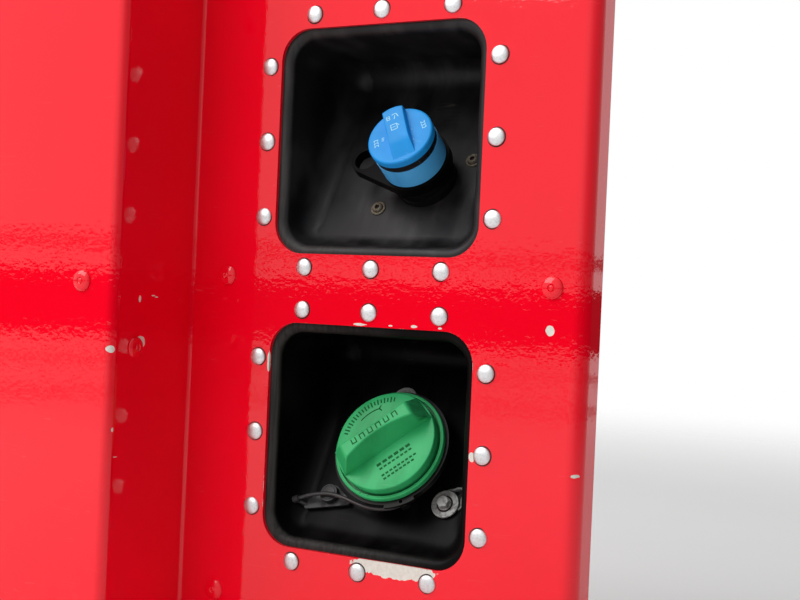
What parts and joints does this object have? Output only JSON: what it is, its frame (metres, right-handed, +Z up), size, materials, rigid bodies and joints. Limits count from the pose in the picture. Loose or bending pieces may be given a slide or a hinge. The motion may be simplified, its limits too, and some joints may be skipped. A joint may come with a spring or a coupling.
{
  "type": "fuel and exhaust fluid filler panel of a fire truck body",
  "caption": "Riveted sheet-metal body panel with two recessed moulded pockets, each with a sloped filler neck and a turning screw cap.",
  "frame": {"origin": "centre of the four corner fixing holes of the recessed face, on the sheet's rear face, where the panel meets the body's posts", "axes": "+X to the right as seen from outside, +Y into the vehicle, +Z up"},
  "size_m": [0.451, 0.2371, 0.6],
  "materials": {
    "red_paint": "high gloss with slight orange peel",
    "pocket_plastic": "moulded black, satin, lightly textured",
    "neck_plastic": "moulded black, satin",
    "blue_plastic": "moulded blue, satin",
    "pale_blue_plastic": "moulded dull blue, satin",
    "seal_rubber": "matt black",
    "green_plastic": "moulded green, satin",
    "zinc_steel": "dulled zinc plate"
  },
  "bodies": {
    "root": {"filler_panel": "red_paint", "def_pocket": "pocket_plastic", "fuel_pocket": "pocket_plastic", "def_neck": "neck_plastic", "def_strap": "neck_plastic", "fuel_neck": "neck_plastic", "fuel_cap_ring": "neck_plastic", "tether_bracket": "zinc_steel", "fuel_tether": "seal_rubber", "bolt_tab": "zinc_steel"},
    "def_cap": {"def_cap_lid": "blue_plastic", "def_cap_gasket": "seal_rubber", "def_cap_sleeve": "pale_blue_plastic"},
    "fuel_cap": {"fuel_cap_shell": "green_plastic", "fuel_cap_plug": "neck_plastic"}
  },
  "joints": [
    {"name": "def_cap_turn", "type": "hinge", "parent": "root", "child": "def_cap", "pos_m": [0.0107, 0.02067, 0.09138], "axis": [0, -0.866, 0.5], "range_deg": [0, 180]},
    {"name": "fuel_cap_turn", "type": "hinge", "parent": "root", "child": "fuel_cap", "pos_m": [-0.0004, 0.02967, -0.12223], "axis": [0, -0.866, 0.5], "range_deg": [0, 90]}
  ]
}
